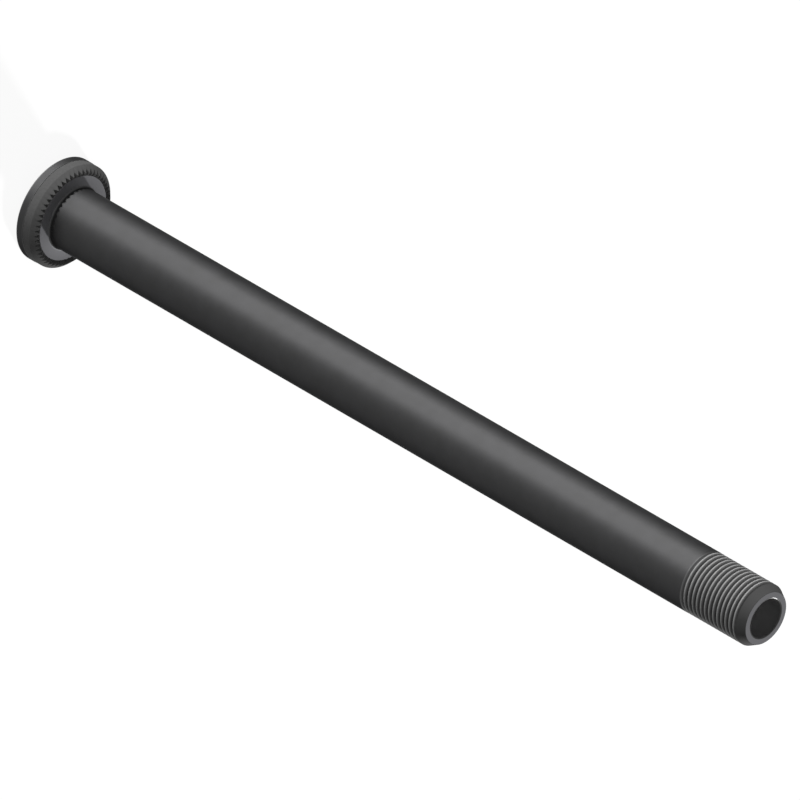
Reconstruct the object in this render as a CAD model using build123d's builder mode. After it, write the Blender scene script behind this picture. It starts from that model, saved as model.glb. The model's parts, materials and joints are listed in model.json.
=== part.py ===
from build123d import *
from math import pi
import os

# Bicycle thru axle, standing on its head with the threaded tip up.
# The origin is the centre of the head's outer face, and +Z runs from the head to the tip.

# Driving dimensions of the turned axle, in millimetres
shank_diameter = 12.0
under_head_length = 172.5
seat_width = 2.3
boss_height = 2.55
root_fillet = 0.4
flange_thickness = 1.6
flange_overhang = 0.05
flange_edge_break = 0.15

# Threaded tip, drawn at the thread's major diameter
thread_length = 15.3
thread_relief = 0.025
thread_run_out = 0.6
tip_chamfer_length = 1.6
tip_chamfer_depth = 0.9

# Lightening bore, drilled from the tip
tube_wall = 2.3
bore_mouth_chamfer = 0.3
bore_web = 3.2

# Hex key socket, broached into the head
socket_across_flats = 6.0
socket_depth = 7.0
socket_lead_in = 0.65
socket_ledge = 0.25

# The bore and the socket both end in a drill point, this deep per unit of radius
drill_point_slope = 0.6

# Toothed ring, seated on the boss against the flange
ring_wall = 1.77
ring_fit_clearance = 0.03
ring_bore_bevel = 0.42
ring_bevel_height = 1.2
tooth_count = 56
tooth_depth = 0.55
tooth_land = 0.08
tooth_crest_length = 0.2
tooth_stand_proud = 0.4

# Radii, from the axle's line outwards
shank_radius = shank_diameter / 2
bore_radius = shank_radius - tube_wall
thread_radius = shank_radius - thread_relief
tip_face_radius = thread_radius - tip_chamfer_depth
socket_radius = socket_across_flats / 2
socket_mouth_radius = socket_radius + socket_lead_in
socket_drill_radius = socket_radius - socket_ledge
boss_radius = shank_radius + seat_width
ring_bore_radius = boss_radius + ring_fit_clearance
crest_inner_radius = ring_bore_radius + ring_bore_bevel
crest_outer_radius = crest_inner_radius + tooth_crest_length
ring_radius = ring_bore_radius + ring_wall
flange_radius = ring_radius + flange_overhang

# Heights, from the head's outer face to the tip
socket_point_depth = socket_drill_radius * drill_point_slope
bore_point = socket_depth + socket_point_depth + bore_web
bore_wall_start = bore_point + bore_radius * drill_point_slope
seat_height = flange_thickness + boss_height
crest_height = seat_height + tooth_stand_proud
ring_rim_top = crest_height - ring_bevel_height
tip_height = seat_height + under_head_length
thread_start = tip_height - thread_length
tip_chamfer_start = tip_height - tip_chamfer_length


with BuildPart() as axle:
    # Half section of the axle, turned about its own line
    with BuildSketch(Plane.XZ):
        with BuildLine():
            Polyline(
                (0, 0),
                (flange_radius - flange_edge_break, 0),
                (flange_radius, flange_edge_break),
                (flange_radius, flange_thickness),
                (boss_radius, flange_thickness),
                (boss_radius, seat_height),
                (shank_radius, seat_height),
                (shank_radius, thread_start),
                (thread_radius, thread_start + thread_run_out),
                (thread_radius, tip_chamfer_start),
                (tip_face_radius, tip_height),
                (bore_radius + bore_mouth_chamfer, tip_height),
                (bore_radius, tip_height - bore_mouth_chamfer),
                (bore_radius, bore_wall_start),
                (0, bore_point),
                close=True,
            )
        make_face()
    revolve(axis=Axis.Z)

    # Rounded root where the shank meets the seat face
    circles = axle.edges().filter_by(GeomType.CIRCLE)
    seat_circles = circles.group_by(lambda edge: abs(edge.arc_center.Z - seat_height))[0]
    fillet(seat_circles.sort_by(SortBy.RADIUS)[0], root_fillet)

    # Hex socket, with a countersunk mouth and a drill point at its bottom
    with BuildSketch(Plane.XY):
        RegularPolygon(radius=socket_radius, side_count=6, major_radius=False)
    extrude(amount=socket_depth, mode=Mode.SUBTRACT)
    Cone(
        bottom_radius=socket_mouth_radius,
        top_radius=0,
        height=socket_mouth_radius,
        align=(Align.CENTER, Align.CENTER, Align.MIN),
        mode=Mode.SUBTRACT,
    )
    with Locations((0, 0, socket_depth)):
        Cone(
            bottom_radius=socket_drill_radius,
            top_radius=0,
            height=socket_point_depth,
            align=(Align.CENTER, Align.CENTER, Align.MIN),
            mode=Mode.SUBTRACT,
        )

axle.part.label = "axle"


# The gap between two teeth is a V whose edges all run to the axle's line,
# so the teeth narrow evenly towards the shank and keep a level crest.
tooth_pitch = 2 * pi * crest_outer_radius / tooth_count
gap_half_width = (tooth_pitch - tooth_land) / 2
gap_overshoot = 0.5

with BuildPart() as tooth_gap:
    for section_radius in (shank_radius, ring_radius):
        spread = section_radius / crest_outer_radius
        gap_bottom = -tooth_depth * spread
        gap_top = tooth_depth * spread * gap_overshoot
        gap_top_half_width = gap_half_width * spread * (1 + gap_overshoot)
        with BuildSketch(Plane(origin=(section_radius, 0, crest_height), x_dir=(0, 1, 0), z_dir=(1, 0, 0))):
            with BuildLine():
                Polyline((0, gap_bottom), (gap_top_half_width, gap_top), (-gap_top_half_width, gap_top), close=True)
            make_face()
    loft()


with BuildPart() as toothed_ring:
    # Section of the ring: rim, bevel up to the tooth crests, and the bevelled bore
    with BuildSketch(Plane.XZ):
        with BuildLine():
            Polyline(
                (ring_bore_radius, flange_thickness),
                (ring_radius, flange_thickness),
                (ring_radius, ring_rim_top),
                (crest_outer_radius, crest_height),
                (crest_inner_radius, crest_height),
                (ring_bore_radius, crest_height - ring_bore_bevel),
                close=True,
            )
        make_face()
    revolve(axis=Axis.Z)

    # Teeth, left standing between the gaps cut round the crest
    with PolarLocations(0, tooth_count):
        add(tooth_gap.part, mode=Mode.SUBTRACT)

toothed_ring.part.label = "toothed_ring"


os.makedirs("parts", exist_ok=True)
export_step(axle.part, "parts/axle.step")
export_step(toothed_ring.part, "parts/toothed_ring.step")
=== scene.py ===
import json
from math import ceil, cos, floor, pi, radians, sin

import bpy
from mathutils import Matrix, Vector


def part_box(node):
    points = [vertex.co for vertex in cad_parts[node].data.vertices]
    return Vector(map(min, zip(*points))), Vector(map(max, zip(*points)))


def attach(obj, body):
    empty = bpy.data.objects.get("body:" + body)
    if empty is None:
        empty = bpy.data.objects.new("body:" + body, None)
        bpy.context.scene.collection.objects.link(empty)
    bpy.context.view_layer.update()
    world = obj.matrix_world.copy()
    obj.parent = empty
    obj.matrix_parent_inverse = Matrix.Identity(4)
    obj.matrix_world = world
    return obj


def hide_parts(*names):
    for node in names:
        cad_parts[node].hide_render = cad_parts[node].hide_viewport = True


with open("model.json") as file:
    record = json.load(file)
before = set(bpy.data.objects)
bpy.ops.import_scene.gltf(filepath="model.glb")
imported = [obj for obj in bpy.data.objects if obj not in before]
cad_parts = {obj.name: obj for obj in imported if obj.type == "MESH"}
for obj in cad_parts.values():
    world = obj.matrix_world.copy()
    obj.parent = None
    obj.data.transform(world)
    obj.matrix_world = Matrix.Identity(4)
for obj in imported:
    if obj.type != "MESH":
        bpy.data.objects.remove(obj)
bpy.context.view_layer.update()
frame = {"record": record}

# The axle stands on its head with the threaded tip up. Lengths are in metres.
MM = 0.001

# Sizes that the frame gives
mounts = {mount["name"]: mount for mount in frame["record"]["mounts"]}


def round_wall(mount_name):
    """Radius of a round mount's wall, and the heights that it runs between."""
    mount = mounts[mount_name]
    half_length = mount["dims"]["length_mm"] * MM / 2
    middle = mount["pos_m"][2]
    return mount["dims"]["r_mm"] * MM, middle - half_length, middle + half_length


def outer_radius(node):
    """Largest reach of a round node from the axle's line."""
    low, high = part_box(node)
    return max(high[0], high[1], -low[0], -low[1])


shank_radius, shank_start, shank_end = round_wall("shank")
thread_radius, _, thread_end = round_wall("thread")
bore_radius, bore_start, bore_end = round_wall("tip_bore")
seat_height = mounts["seat_face"]["pos_m"][2]
tip_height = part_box("axle")[1][2]
flange_radius = outer_radius("axle")
flange_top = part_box("toothed_ring")[0][2]
crest_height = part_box("toothed_ring")[1][2]
ring_radius = outer_radius("toothed_ring")

# Sizes of the turned axle that the frame doesn't give
seat_width = 2.3 * MM
flange_edge_break = 0.15 * MM
parting_edge_break = 0.05 * MM
boss_edge_break = 0.06 * MM
tip_chamfer_depth = 0.9 * MM
tip_edge_break = 0.05 * MM
drill_point_slope = 0.6

# Mouth of the bore: a narrow lip that slopes inwards, then a rounding down to the wall
mouth_lip_width = 0.2 * MM
mouth_lip_slope = 0.31

# Hex key socket in the head
socket_across_flats = 6.0 * MM
socket_depth = 7.0 * MM
socket_lead_in = 0.65 * MM
socket_ledge = 0.25 * MM
socket_sides = 6

# Thread: a right-hand helix, and the height of its root at angle 0 above a whole number of pitches
thread_pitch = 1.0 * MM
thread_depth = 0.58 * MM
thread_start_run_out = 1.0 * MM
thread_end_run_out = 0.3 * MM
thread_root_height = 0.03 * MM

# Teeth of the ring
tooth_count = 56
tooth_depth = 0.55 * MM
tooth_land = 0.08 * MM
tooth_crest_length = 0.2 * MM
ring_fit_clearance = 0.03 * MM
ring_bore_bevel = 0.42 * MM
ring_bevel_height = 1.2 * MM
ring_edge_break = 0.05 * MM

# Derived radii and heights
boss_radius = shank_radius + seat_width
root_fillet = shank_start - seat_height
tip_face_radius = thread_radius - tip_chamfer_depth
bore_mouth_radius = bore_radius + tip_height - bore_end
bore_point = bore_start - bore_radius * drill_point_slope
socket_apothem = socket_across_flats / 2
socket_mouth_radius = socket_apothem + socket_lead_in
socket_drill_radius = socket_apothem - socket_ledge
ring_bore_radius = boss_radius + ring_fit_clearance
crest_inner_radius = ring_bore_radius + ring_bore_bevel
crest_outer_radius = crest_inner_radius + tooth_crest_length
ring_rim_top = crest_height - ring_bevel_height

# How far edges are rubbed, from 0 to 1
flange_edge_wear = 0.5
parting_edge_wear = 0.2
socket_edge_wear = 0.5
socket_mouth_wear = 0.6
ring_edge_wear = 0.4
ring_bevel_wear = 0.1

# Shares of the root fillet where the machined finish and its painted light end, and of the thread's depth
# where wear and painted highlight are full
root_machined_and_painted_light_share = 1 / 3
thread_wear_and_highlight_from = 0.5

# Finish of the bore's mouth, from its edge down to the depth where the wall is fully drilled. The drilled
# tone is partly painted light: it grows paler down into the bore, where shade falls
finish_change = 0.02 * MM
lip_polish = 0.16
mouth_drilled_and_painted_light = 0.26
bore_finish_depth = 5.5 * MM

# Mesh fineness
axle_columns = 240
fillet_steps = 6
mouth_steps = 5
row_spacing = 6.0 * MM
shank_end_row = 0.06 * MM
same_point = 0.0004 * MM
sharp_angle = radians(24)

# Turns of the thread that start below its stretch and end above it, to be cut level
turns_below = 2
turns_above = 1


class Skin:
    """Points and faces of one piece, with the finish at each point.

    wear is how far an edge is rubbed, and on the thread it is also a painted highlight on the crests
    and on the flanks that face the tip. machined marks the flat faces that were cut after the finish
    was put on, whose paler tone is partly painted light on these faces that look up. matte marks the
    thread, the tip's chamfer and the bore, drilled the insides of the holes, whose pale tone is partly
    painted light against the shade in them, growing from the bore's mouth downwards, and burnished
    the polished lip of the bore's mouth.
    """

    def __init__(self):
        self.points = []
        self.finish = {"wear": [], "machined": [], "matte": [], "drilled": [], "burnished": []}
        self.faces = []
        self.known = {}

    def point(self, angle, radius, height, **finish):
        """Index of the point there; points that fall together are one, with the first one's finish."""
        place = (radius * cos(angle), radius * sin(angle), height)
        key = tuple(round(value / same_point) for value in place)
        if key not in self.known:
            self.known[key] = len(self.points)
            self.points.append(place)
            for name, values in self.finish.items():
                values.append(finish.get(name, 0.0))
        return self.known[key]

    def face(self, corners):
        """A face through the corners that differ, if there are three or more."""
        kept = [corner for i, corner in enumerate(corners) if corner != corners[i - 1]]
        if len(set(kept)) > 2:
            self.faces.append(kept)

    def strip(self, lower, upper):
        """Faces between two closed rows of points."""
        for i in range(len(lower)):
            j = (i + 1) % len(lower)
            self.face([lower[i], lower[j], upper[j], upper[i]])

    def strips(self, rows):
        """Faces between each row and the next."""
        for lower, upper in zip(rows, rows[1:]):
            self.strip(lower, upper)

    def piece(self, name, material):
        """The finished mesh object."""
        mesh = bpy.data.meshes.new(name)
        mesh.from_pydata(self.points, [], self.faces)
        for finish_name, values in self.finish.items():
            mesh.attributes.new(finish_name, "FLOAT", "POINT").data.foreach_set("value", values)
        mesh.validate()
        mesh.shade_smooth()
        mesh.set_sharp_from_angle(angle=sharp_angle)
        mesh.materials.append(material)
        made = bpy.data.objects.new(name, mesh)
        bpy.context.collection.objects.link(made)
        return made


def turned_row(skin, angles, radius, height, **finish):
    """One row of points round the axle's line."""
    return [skin.point(angle, radius, height, **finish) for angle in angles]


def socket_wall_radius(angle):
    """Distance from the axle's line to the hex socket's wall; a corner lies at angle 0."""
    side = 2 * pi / socket_sides
    return socket_apothem / cos(angle % side - side / 2)


def socket_rows(skin, angles):
    """Rows of the hex socket, from its drill point out to the countersunk mouth."""
    point_height = socket_depth + socket_drill_radius * drill_point_slope
    wall_top, wall_bottom = [], []
    for angle in angles:
        wall = socket_wall_radius(angle)
        # The socket's drilled tone is partly painted light, as in the bore
        wall_top.append(skin.point(angle, wall, socket_depth, drilled=1.0))
        wall_bottom.append(skin.point(angle, wall, socket_mouth_radius - wall, wear=socket_edge_wear))
    return [
        turned_row(skin, angles, 0.0, point_height, drilled=1.0),
        turned_row(skin, angles, socket_drill_radius, socket_depth, drilled=1.0),
        wall_top,
        wall_bottom,
        turned_row(skin, angles, socket_mouth_radius, 0.0, wear=socket_mouth_wear),
    ]


def head_rows(skin, angles):
    """Rows from the flange's outer face, over its rim and the boss, to the root of the shank."""
    parting = flange_top - parting_edge_break
    rows = [
        turned_row(skin, angles, flange_radius - flange_edge_break, 0.0, wear=flange_edge_wear),
        turned_row(skin, angles, flange_radius, flange_edge_break, wear=flange_edge_wear),
        turned_row(skin, angles, flange_radius, 2 * flange_edge_break),
        turned_row(skin, angles, flange_radius, flange_top - 2 * parting_edge_break),
        turned_row(skin, angles, flange_radius, parting, wear=parting_edge_wear),
        turned_row(skin, angles, flange_radius - parting_edge_break, flange_top),
        turned_row(skin, angles, boss_radius, flange_top),
        turned_row(skin, angles, boss_radius, seat_height - boss_edge_break),
        # The seat's paler machined tone is partly painted light on a face that looks up
        turned_row(skin, angles, boss_radius - boss_edge_break, seat_height, machined=1.0),
    ]
    for step in range(fillet_steps + 1):
        turn = step / fillet_steps * pi / 2
        radius = shank_radius + root_fillet * (1 - sin(turn))
        height = seat_height + root_fillet * (1 - cos(turn))
        machined = max(1 - step / fillet_steps / root_machined_and_painted_light_share, 0.0)
        rows.append(turned_row(skin, angles, radius, height, machined=machined))
    return rows


def shank_rows(skin, angles):
    """Rows along the plain shank, up to the thread; short rows at both ends keep its shading straight."""
    first = shank_start + shank_end_row
    last = shank_end - shank_end_row
    count = ceil((last - first) / row_spacing)
    step = (last - first) / count
    heights = [first + step * i for i in range(count + 1)] + [shank_end]
    return [turned_row(skin, angles, shank_radius, height) for height in heights]


# Points of the thread's profile over one pitch: share of the pitch, share of the depth, wear. The wear is
# partly rubbed crests and partly a painted highlight on the crests and the flanks that face the tip
thread_profile = [
    (0.00, 1.00, 0.0),
    (0.07, 0.96, 0.0),
    (0.28, 0.37, 0.0),
    (0.36, 0.10, 0.5),
    (0.40, 0.00, 0.8),
    (0.65, 0.00, 0.8),
    (0.69, 0.10, 0.6),
    (0.80, 0.47, 0.25),
    (0.94, 0.96, 0.05),
]


def add_thread(skin, angles):
    """The threaded stretch: rows that climb one pitch in each turn, cut level at both ends."""
    rows_per_pitch = len(thread_profile)
    first_turn = floor((shank_end - thread_root_height) / thread_pitch) - turns_below
    last_turn = ceil((thread_end - thread_root_height) / thread_pitch) + turns_above
    row_count = (last_turn - first_turn) * rows_per_pitch
    grid = []
    for row in range(row_count):
        turn, place = divmod(row, rows_per_pitch)
        share, depth_share, crest_wear_and_highlight = thread_profile[place]
        line = []
        for angle in angles:
            climb = first_turn + turn + share + angle / (2 * pi)
            height = thread_root_height + climb * thread_pitch
            height = min(max(height, shank_end), thread_end)
            started = min((height - shank_end) / thread_start_run_out, 1.0)
            ended = min((thread_end - height) / thread_end_run_out, 1.0)
            blank = shank_radius + (thread_radius - shank_radius) * started
            cut = min(started, ended)
            radius = blank - thread_depth * depth_share * cut
            # Wear here is partly rubbed crests and partly a painted highlight
            wear = crest_wear_and_highlight * min(cut / thread_wear_and_highlight_from, 1.0)
            line.append(skin.point(angle, radius, height, wear=wear, matte=cut))
        grid.append(line)
    for row in range(row_count - 1):
        for i in range(len(angles) - 1):
            skin.face([grid[row][i], grid[row][i + 1], grid[row + 1][i + 1], grid[row + 1][i]])
        low = min(row + rows_per_pitch, row_count - 1)
        high = min(row + 1 + rows_per_pitch, row_count - 1)
        skin.face([grid[row][-1], grid[low][0], grid[high][0], grid[row + 1][-1]])


def tip_rows(skin, angles):
    """Rows of the tip's chamfer and of its flat face, from the thread in to the bore's mouth."""
    edge_fall = tip_chamfer_depth / (tip_height - thread_end) * tip_edge_break
    return [
        turned_row(skin, angles, thread_radius, thread_end),
        turned_row(skin, angles, thread_radius - edge_fall, thread_end + tip_edge_break, matte=1.0),
        turned_row(skin, angles, tip_face_radius + edge_fall, tip_height - tip_edge_break, matte=1.0),
        # The tip face's paler machined tone is partly painted light on a face that looks up
        turned_row(skin, angles, tip_face_radius - tip_edge_break, tip_height, machined=1.0),
        turned_row(skin, angles, bore_mouth_radius + finish_change, tip_height, machined=1.0),
    ]


def bore_rows(skin, angles):
    """Rows of the bore: the lip and rounding of its mouth, its wall and its drill point."""
    rows = []
    for reach in (0.0, finish_change, mouth_lip_width - finish_change):
        radius = bore_mouth_radius - reach
        height = tip_height - mouth_lip_slope * reach
        rows.append(turned_row(skin, angles, radius, height, matte=1.0, burnished=lip_polish))
    lip_radius = bore_mouth_radius - mouth_lip_width
    lip_height = tip_height - mouth_lip_slope * mouth_lip_width
    for step in range(mouth_steps + 1):
        turn = step / mouth_steps * pi / 2
        radius = lip_radius - (lip_radius - bore_radius) * sin(turn)
        height = bore_end + (lip_height - bore_end) * cos(turn)
        # The drilled tone grows towards the wall: partly painted light against the shade deeper in the bore
        drilled = mouth_drilled_and_painted_light * step / mouth_steps
        rows.append(turned_row(skin, angles, radius, height, matte=1.0, drilled=drilled))
    wall_top = bore_end - bore_finish_depth
    count = ceil((wall_top - bore_start) / row_spacing)
    step = (wall_top - bore_start) / count
    for i in range(count + 1):
        rows.append(turned_row(skin, angles, bore_radius, wall_top - step * i, matte=1.0, drilled=1.0))
    rows.append(turned_row(skin, angles, 0.0, bore_point, matte=1.0, drilled=1.0))
    return rows


def make_axle(material):
    """The axle, turned in one piece, with its broached socket and cut thread."""
    skin = Skin()
    angles = [2 * pi * i / axle_columns for i in range(axle_columns)]
    skin.strips(socket_rows(skin, angles) + head_rows(skin, angles) + shank_rows(skin, angles))
    add_thread(skin, angles)
    skin.strips(tip_rows(skin, angles) + bore_rows(skin, angles))
    return skin.piece("turned_axle", material)


def ring_angles():
    """Angles of the ring's columns, each with the share of the gap's depth there."""
    tooth_angle = 2 * pi / tooth_count
    gap_half_angle = (tooth_angle - tooth_land / crest_outer_radius) / 2
    columns = []
    for tooth in range(tooth_count):
        middle = tooth * tooth_angle
        columns.append((middle, 1.0))
        columns.append((middle + gap_half_angle / 2, 0.5))
        columns.append((middle + gap_half_angle, 0.0))
        columns.append((middle + tooth_angle - gap_half_angle, 0.0))
        columns.append((middle + tooth_angle - gap_half_angle / 2, 0.5))
    return columns


def make_ring(material):
    """The ring on the boss, with V-shaped teeth whose edges all run to the axle's line."""
    skin = Skin()
    bevel_slope = ring_bevel_height / (ring_radius - crest_outer_radius)
    bevel_start_radius = ring_radius - ring_edge_break / bevel_slope
    columns = []
    for angle, gap_share in ring_angles():
        fall = gap_share * tooth_depth / crest_outer_radius
        bevel_meet = crest_outer_radius * bevel_slope / (bevel_slope - fall)
        bore_meet = max(crest_inner_radius / (1 + fall), ring_bore_radius)
        bore_meet_height = crest_height - fall * bore_meet
        bevel_foot = min(crest_height - ring_bore_bevel, bore_meet_height)
        crest_wear_and_highlight = 1.0 - gap_share
        section = [
            (ring_bore_radius, flange_top, 0.0),
            (ring_radius - ring_edge_break, flange_top, 0.0),
            (ring_radius, flange_top + ring_edge_break, ring_edge_wear),
            (ring_radius, flange_top + 2 * ring_edge_break, 0.0),
            (ring_radius, ring_rim_top - ring_edge_break, 0.0),
            (bevel_start_radius, ring_rim_top + ring_edge_break, ring_bevel_wear),
            (bevel_meet, crest_height - fall * bevel_meet, crest_wear_and_highlight),
            (bore_meet, bore_meet_height, crest_wear_and_highlight),
            (ring_bore_radius, bevel_foot, 0.0),
        ]
        columns.append([skin.point(angle, radius, height, wear=wear) for radius, height, wear in section])
    rows = list(zip(*columns))
    skin.strips(rows + [rows[0]])
    return skin.piece("toothed_grip_ring", material)


def add_node(tree, kind, **settings):
    """A node of that kind, with values for its own settings and for its inputs by name."""
    node = tree.nodes.new(kind)
    for name, value in settings.items():
        if hasattr(node, name):
            setattr(node, name, value)
        else:
            node.inputs[name.replace("_", " ")].default_value = value
    return node


def feed(tree, given, target):
    """Link an input to the socket given, or set it to the number or colour given."""
    if isinstance(given, bpy.types.NodeSocket):
        tree.links.new(given, target)
    else:
        target.default_value = given


def math_node(tree, operation, first, second=0.0):
    """The result of a math node; each input is a number or a socket."""
    node = add_node(tree, "ShaderNodeMath", operation=operation)
    feed(tree, first, node.inputs[0])
    feed(tree, second, node.inputs[1])
    return node.outputs[0]


def mix_node(tree, data_type, socket_type, share, first, second):
    """A mix of two inputs by a share that varies; each is a constant or a socket."""
    node = add_node(tree, "ShaderNodeMix", data_type=data_type)
    tree.links.new(share, node.inputs["Factor"])
    for name, given in (("A", first), ("B", second)):
        feed(tree, given, next(s for s in node.inputs if s.name == name and s.type == socket_type))
    return next(s for s in node.outputs if s.type == socket_type)


def mix_colours(tree, share, first, second):
    """A mix of two colours by a share that varies."""
    return mix_node(tree, "RGBA", "RGBA", share, first, second)


def mix_values(tree, share, first, second):
    """A mix of two values by a share that varies."""
    return mix_node(tree, "FLOAT", "VALUE", share, first, second)


def spread_value(tree, share, low, high):
    """A value that runs from low to high as the share runs from 0 to 1."""
    node = add_node(tree, "ShaderNodeMapRange", To_Min=low, To_Max=high)
    tree.links.new(share, node.inputs["Value"])
    return node.outputs["Result"]


def painted_mask(tree, name):
    """A finish value that the mesh carries."""
    return add_node(tree, "ShaderNodeAttribute", attribute_name=name).outputs["Fac"]


def new_group(name, inputs, outputs):
    """An empty shader node group with named sockets; returns the tree and its two end nodes."""
    tree = bpy.data.node_groups.new(name, "ShaderNodeTree")
    for socket_name, value in inputs.items():
        socket = tree.interface.new_socket(socket_name, in_out="INPUT", socket_type="NodeSocketFloat")
        socket.default_value = value
    for socket_name in outputs:
        tree.interface.new_socket(socket_name, in_out="OUTPUT", socket_type="NodeSocketFloat")
    return tree, tree.nodes.new("NodeGroupInput"), tree.nodes.new("NodeGroupOutput")


def lathe_marks_group():
    """Fine rings that the turning tool leaves: along the axle on round faces, concentric on flat ones."""
    tree, given, result = new_group("lathe marks", {"Marks per mm": 8.0, "Lean": 0.73}, ["Height"])
    place = tree.nodes.new("ShaderNodeTexCoord")
    apart = tree.nodes.new("ShaderNodeSeparateXYZ")
    tree.links.new(place.outputs["Object"], apart.inputs[0])
    x_squared = math_node(tree, "MULTIPLY", apart.outputs["X"], apart.outputs["X"])
    y_squared = math_node(tree, "MULTIPLY", apart.outputs["Y"], apart.outputs["Y"])
    radius = math_node(tree, "SQRT", math_node(tree, "ADD", x_squared, y_squared))
    leaned = math_node(tree, "MULTIPLY", radius, given.outputs["Lean"])
    travel = math_node(tree, "ADD", apart.outputs["Z"], leaned)
    marks = math_node(tree, "MULTIPLY", travel, given.outputs["Marks per mm"])
    noise = add_node(tree, "ShaderNodeTexNoise", noise_dimensions="1D", Scale=1.0 / MM, Detail=2.0)
    tree.links.new(marks, noise.inputs["W"])
    tree.links.new(noise.outputs["Fac"], result.inputs["Height"])
    return tree


def mottle_group():
    """Cloudy unevenness of a surface finish."""
    tree, given, result = new_group("finish mottle", {"Patches per mm": 0.4}, ["Mask"])
    place = tree.nodes.new("ShaderNodeTexCoord")
    noise = add_node(tree, "ShaderNodeTexNoise", Detail=5.0, Roughness=0.6)
    scale = math_node(tree, "MULTIPLY", given.outputs["Patches per mm"], 1.0 / MM)
    tree.links.new(scale, noise.inputs["Scale"])
    tree.links.new(place.outputs["Object"], noise.inputs["Vector"])
    sharpened = add_node(tree, "ShaderNodeMapRange", From_Min=0.3, From_Max=0.7)
    tree.links.new(noise.outputs["Fac"], sharpened.inputs["Value"])
    tree.links.new(sharpened.outputs["Result"], result.inputs["Mask"])
    return tree


def worn_edges_and_highlights_group():
    """Where the finish is rubbed, and where a highlight is painted on the thread: the wear that the mesh
    carries, broken up by fine noise.
    """
    tree, given, result = new_group("worn edges", {"Amount": 1.0}, ["Mask"])
    place = tree.nodes.new("ShaderNodeTexCoord")
    noise = add_node(tree, "ShaderNodeTexNoise", Scale=2.5 / MM, Detail=3.0)
    tree.links.new(place.outputs["Object"], noise.inputs["Vector"])
    broken = spread_value(tree, noise.outputs["Fac"], low=0.55, high=1.0)
    rubbed = math_node(tree, "MULTIPLY", painted_mask(tree, "wear"), broken)
    tree.links.new(math_node(tree, "MULTIPLY", rubbed, given.outputs["Amount"]), result.inputs["Mask"])
    return tree


def place_group(tree, group, **values):
    """A group node with its own values."""
    return add_node(tree, "ShaderNodeGroup", node_tree=group, **values)


def new_material(name):
    """A material with a Principled shader on its output."""
    material = bpy.data.materials.new(name)
    material.use_nodes = True
    tree = material.node_tree
    return material, tree, tree.nodes["Principled BSDF"]


def grey(level, blue=0.0):
    """A neutral colour, a little bluer if asked."""
    return (level, level, level * (1 + blue), 1.0)


# Shared by both finishes: the depth of the fine relief, and the gloss where they aren't metal
relief_depth = 0.01 * MM
dull_gloss = 0.02


def add_relief(tree, shader, height, strength):
    """Fine relief on a surface."""
    bump = add_node(tree, "ShaderNodeBump", Strength=strength, Distance=relief_depth)
    tree.links.new(height, bump.inputs["Height"])
    tree.links.new(bump.outputs["Normal"], shader.inputs["Normal"])


# Tones of the black anodised axle
anodised_dark = grey(0.037, blue=0.01)
anodised_pale = grey(0.041, blue=0.02)
anodised_edge_tint = grey(0.34)
# Paler machined tone, partly painted light on the faces that look up
machined_face_and_painted_light = grey(0.10, blue=0.05)
matte_cut = grey(0.039)
# Pale drilled metal, partly painted light that lifts the shade inside the holes
drilled_wall_and_painted_light = grey(0.22)
# Rubbed metal on worn edges; on the thread it is also a painted highlight
rubbed_metal_and_highlight = grey(0.225)

# Roughness of the axle, and how far its faces are metal
satin_roughness = (0.51, 0.535)
lathe_mark_roughness = (-0.02, 0.02)
matte_roughness = 0.7
polish_roughness = 0.25
machined_metal = 0.6
matte_metal = 0.05
lathe_mark_relief = 0.12


def black_anodised(lathe_marks, mottle, worn_edges_and_highlights):
    """Satin black anodising on turned aluminium, matte on the thread, paler on machined faces and in the
    holes, partly as painted light, and with a painted highlight on the thread.
    """
    material, tree, shader = new_material("black_anodised_aluminium")
    marks = place_group(tree, lathe_marks, Marks_per_mm=7.0).outputs["Height"]
    clouds = place_group(tree, mottle, Patches_per_mm=0.35).outputs["Mask"]
    worn_and_highlighted = place_group(tree, worn_edges_and_highlights, Amount=1.0).outputs["Mask"]
    machined = painted_mask(tree, "machined")
    matte = painted_mask(tree, "matte")
    drilled = painted_mask(tree, "drilled")
    colour = mix_colours(tree, clouds, anodised_dark, anodised_pale)
    # Machined faces, partly painted light
    colour = mix_colours(tree, machined, colour, machined_face_and_painted_light)
    colour = mix_colours(tree, matte, colour, matte_cut)
    # Drilled walls, partly painted light inside the holes
    colour = mix_colours(tree, drilled, colour, drilled_wall_and_painted_light)
    # Worn edges, and the painted highlight on the thread
    colour = mix_colours(tree, worn_and_highlighted, colour, rubbed_metal_and_highlight)
    tree.links.new(colour, shader.inputs["Base Color"])
    dull = math_node(tree, "MAXIMUM", matte, drilled)
    satin = spread_value(tree, clouds, *satin_roughness)
    rough = math_node(tree, "ADD", satin, spread_value(tree, marks, *lathe_mark_roughness))
    tree.links.new(mix_values(tree, dull, rough, matte_roughness), shader.inputs["Roughness"])
    metal = mix_values(tree, machined, 1.0, machined_metal)
    tree.links.new(mix_values(tree, dull, metal, matte_metal), shader.inputs["Metallic"])
    tree.links.new(painted_mask(tree, "burnished"), shader.inputs["Coat Weight"])
    shader.inputs["Coat Roughness"].default_value = polish_roughness
    shader.inputs["Specular Tint"].default_value = anodised_edge_tint
    shader.inputs["Specular IOR Level"].default_value = dull_gloss
    add_relief(tree, shader, marks, lathe_mark_relief)
    return material


# Tones, roughness and relief of the black oxide on the ring
oxide_dark = grey(0.046)
oxide_pale = grey(0.055)
oxide_rubbed = grey(0.07)
oxide_roughness = (0.75, 0.88)
oxide_relief = 0.15


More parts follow.
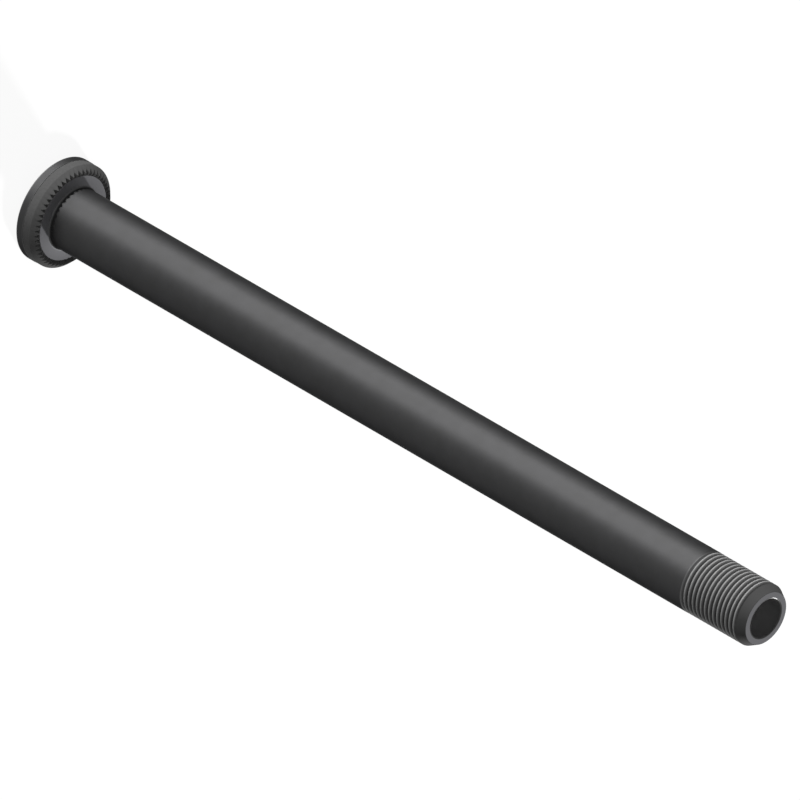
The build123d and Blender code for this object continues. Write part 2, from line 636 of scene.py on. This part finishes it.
def black_oxide(lathe_marks, mottle, worn_edges_and_highlights):
    """Matte black oxide on steel, with a fine grain and rubbed edges."""
    material, tree, shader = new_material("black_oxide_steel")
    marks = place_group(tree, lathe_marks, Marks_per_mm=5.0).outputs["Height"]
    grains = place_group(tree, mottle, Patches_per_mm=2.5).outputs["Mask"]
    worn_and_highlighted = place_group(tree, worn_edges_and_highlights, Amount=0.5).outputs["Mask"]
    oxide = mix_colours(tree, grains, oxide_dark, oxide_pale)
    tree.links.new(mix_colours(tree, worn_and_highlighted, oxide, oxide_rubbed), shader.inputs["Base Color"])
    tree.links.new(spread_value(tree, grains, *oxide_roughness), shader.inputs["Roughness"])
    shader.inputs["Specular IOR Level"].default_value = dull_gloss
    add_relief(tree, shader, math_node(tree, "ADD", marks, grains), oxide_relief)
    return material


# The picture's view: from the tip's side, with the axle's line falling to the lower right
camera_azimuth = radians(-86.85)
camera_elevation = radians(35.264)
picture_lean = radians(30.0165)
picture_width = 140.94 * MM
view_height = 85.53 * MM
view_offset = 1.066 * MM

# A long lens, in millimetres as Blender takes it
lens_length = 1500.0
sensor_width = 36.0

# Nearest distance that is seen, and the farthest as a multiple of the camera's own distance
nearest_seen = 0.01
farthest_multiple = 3.0


def around(azimuth, elevation):
    """Unit vector away from the axle's line.

    The azimuth runs from the camera's side towards the picture's top right.
    """
    angle = camera_azimuth - azimuth
    return Vector((cos(elevation) * cos(angle), cos(elevation) * sin(angle), sin(elevation)))


def add_camera():
    """A long lens at the picture's angle, rolled so that the axle lies across the frame."""
    towards = around(0.0, camera_elevation)
    sideways = around(pi / 2, 0.0)
    upwards = towards.cross(sideways) * -1
    right = upwards * cos(picture_lean) + sideways * sin(picture_lean)
    top = sideways * cos(picture_lean) - upwards * sin(picture_lean)
    centre = Vector((0, 0, view_height)) + sideways * view_offset
    distance = picture_width * lens_length / sensor_width
    lens = bpy.data.cameras.new("camera")
    lens.lens = lens_length
    lens.sensor_width = sensor_width
    lens.clip_start = nearest_seen
    lens.clip_end = farthest_multiple * distance
    camera = bpy.data.objects.new("camera", lens)
    turn = Matrix((right, top, towards)).transposed().to_4x4()
    camera.matrix_world = Matrix.Translation(centre + towards * distance) @ turn
    bpy.context.collection.objects.link(camera)
    bpy.context.scene.camera = camera


def add_lamp(name, azimuth, elevation, level, width):
    """A distant lamp; level 1 lights a white card that faces it to white, and width is its angle across."""
    light = bpy.data.lights.new(name, "SUN")
    light.energy = level * pi
    light.angle = radians(width)
    # The table top would stop mirrored rays on their way to a lamp below it
    light.cycles.use_multiple_importance_sampling = False
    lamp = bpy.data.objects.new(name, light)
    lamp.rotation_euler = around(radians(azimuth), radians(elevation)).to_track_quat("Z", "Y").to_euler()
    bpy.context.collection.objects.link(lamp)


# Surroundings: light and colour as shares of plain white, and the floor's sizes
ambient_level = 0.32
floor_colour = 0.2
floor_glow = 0.86
floor_half_width = 4.0
floor_drop = 0.02 * MM


def seen_directly(tree):
    """1 for what the camera sees, straight, mirrored or through glass, and 0 for light on surfaces."""
    path = tree.nodes.new("ShaderNodeLightPath")
    mirrored = math_node(tree, "MAXIMUM", path.outputs["Is Camera Ray"], path.outputs["Is Glossy Ray"])
    return math_node(tree, "MAXIMUM", mirrored, path.outputs["Is Transmission Ray"])


def add_world():
    """White where it is seen, and a plain soft light on the surfaces."""
    world = bpy.data.worlds.new("studio")
    bpy.context.scene.world = world
    world.use_nodes = True
    tree = world.node_tree
    background = tree.nodes["Background"]
    background.inputs["Color"].default_value = grey(1.0)
    strength = spread_value(tree, seen_directly(tree), ambient_level, 1.0)
    tree.links.new(strength, background.inputs["Strength"])


def pale_table():
    """A pale surface that keeps the shadow, and is clear from beneath."""
    material, tree, shader = new_material("pale_table")
    tree.nodes.remove(shader)
    top = add_node(tree, "ShaderNodeBsdfDiffuse", Color=grey(floor_colour))
    glow = add_node(tree, "ShaderNodeEmission", Color=grey(1.0))
    tree.links.new(math_node(tree, "MULTIPLY", seen_directly(tree), floor_glow), glow.inputs["Strength"])
    both = tree.nodes.new("ShaderNodeAddShader")
    tree.links.new(top.outputs[0], both.inputs[0])
    tree.links.new(glow.outputs[0], both.inputs[1])
    from_below = tree.nodes.new("ShaderNodeNewGeometry").outputs["Backfacing"]
    clear = tree.nodes.new("ShaderNodeBsdfTransparent")
    table = tree.nodes.new("ShaderNodeMixShader")
    tree.links.new(from_below, table.inputs["Fac"])
    tree.links.new(both.outputs[0], table.inputs[1])
    tree.links.new(clear.outputs[0], table.inputs[2])
    tree.links.new(table.outputs[0], tree.nodes["Material Output"].inputs["Surface"])
    return material


def add_floor(material):
    """A wide table top that lets the lamps below it shine through."""
    mesh = bpy.data.meshes.new("floor")
    signs = [(-1, -1), (1, -1), (1, 1), (-1, 1)]
    corners = [(x * floor_half_width, y * floor_half_width, -floor_drop) for x, y in signs]
    mesh.from_pydata(corners, [], [(0, 1, 2, 3)])
    mesh.materials.append(material)
    table_top = bpy.data.objects.new("floor", mesh)
    table_top.visible_shadow = False
    bpy.context.collection.objects.link(table_top)


lathe_marks = lathe_marks_group()
mottle = mottle_group()
worn_edges_and_highlights = worn_edges_and_highlights_group()

axle = make_axle(black_anodised(lathe_marks, mottle, worn_edges_and_highlights))
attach(axle, "root")
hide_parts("axle")

ring = make_ring(black_oxide(lathe_marks, mottle, worn_edges_and_highlights))
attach(ring, "root")
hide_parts("toothed_ring")

add_camera()
add_world()
add_floor(pale_table())

# The two key lamps and the low back lamp shine from below, through the table top
add_lamp("key lamp", azimuth=22.5, elevation=-12, level=1.19, width=2.5)
add_lamp("second key lamp", azimuth=57.8, elevation=-12, level=1.36, width=4)
add_lamp("back lamp", azimuth=198, elevation=24, level=0.85, width=5)
add_lamp("low back lamp", azimuth=220, elevation=-14, level=0.64, width=12)
add_lamp("side lamp", azimuth=236, elevation=22, level=0.06, width=20)
add_lamp("fill lamp", azimuth=0, elevation=62, level=0.16, width=40)
bpy.context.scene.view_settings.view_transform = "Standard"
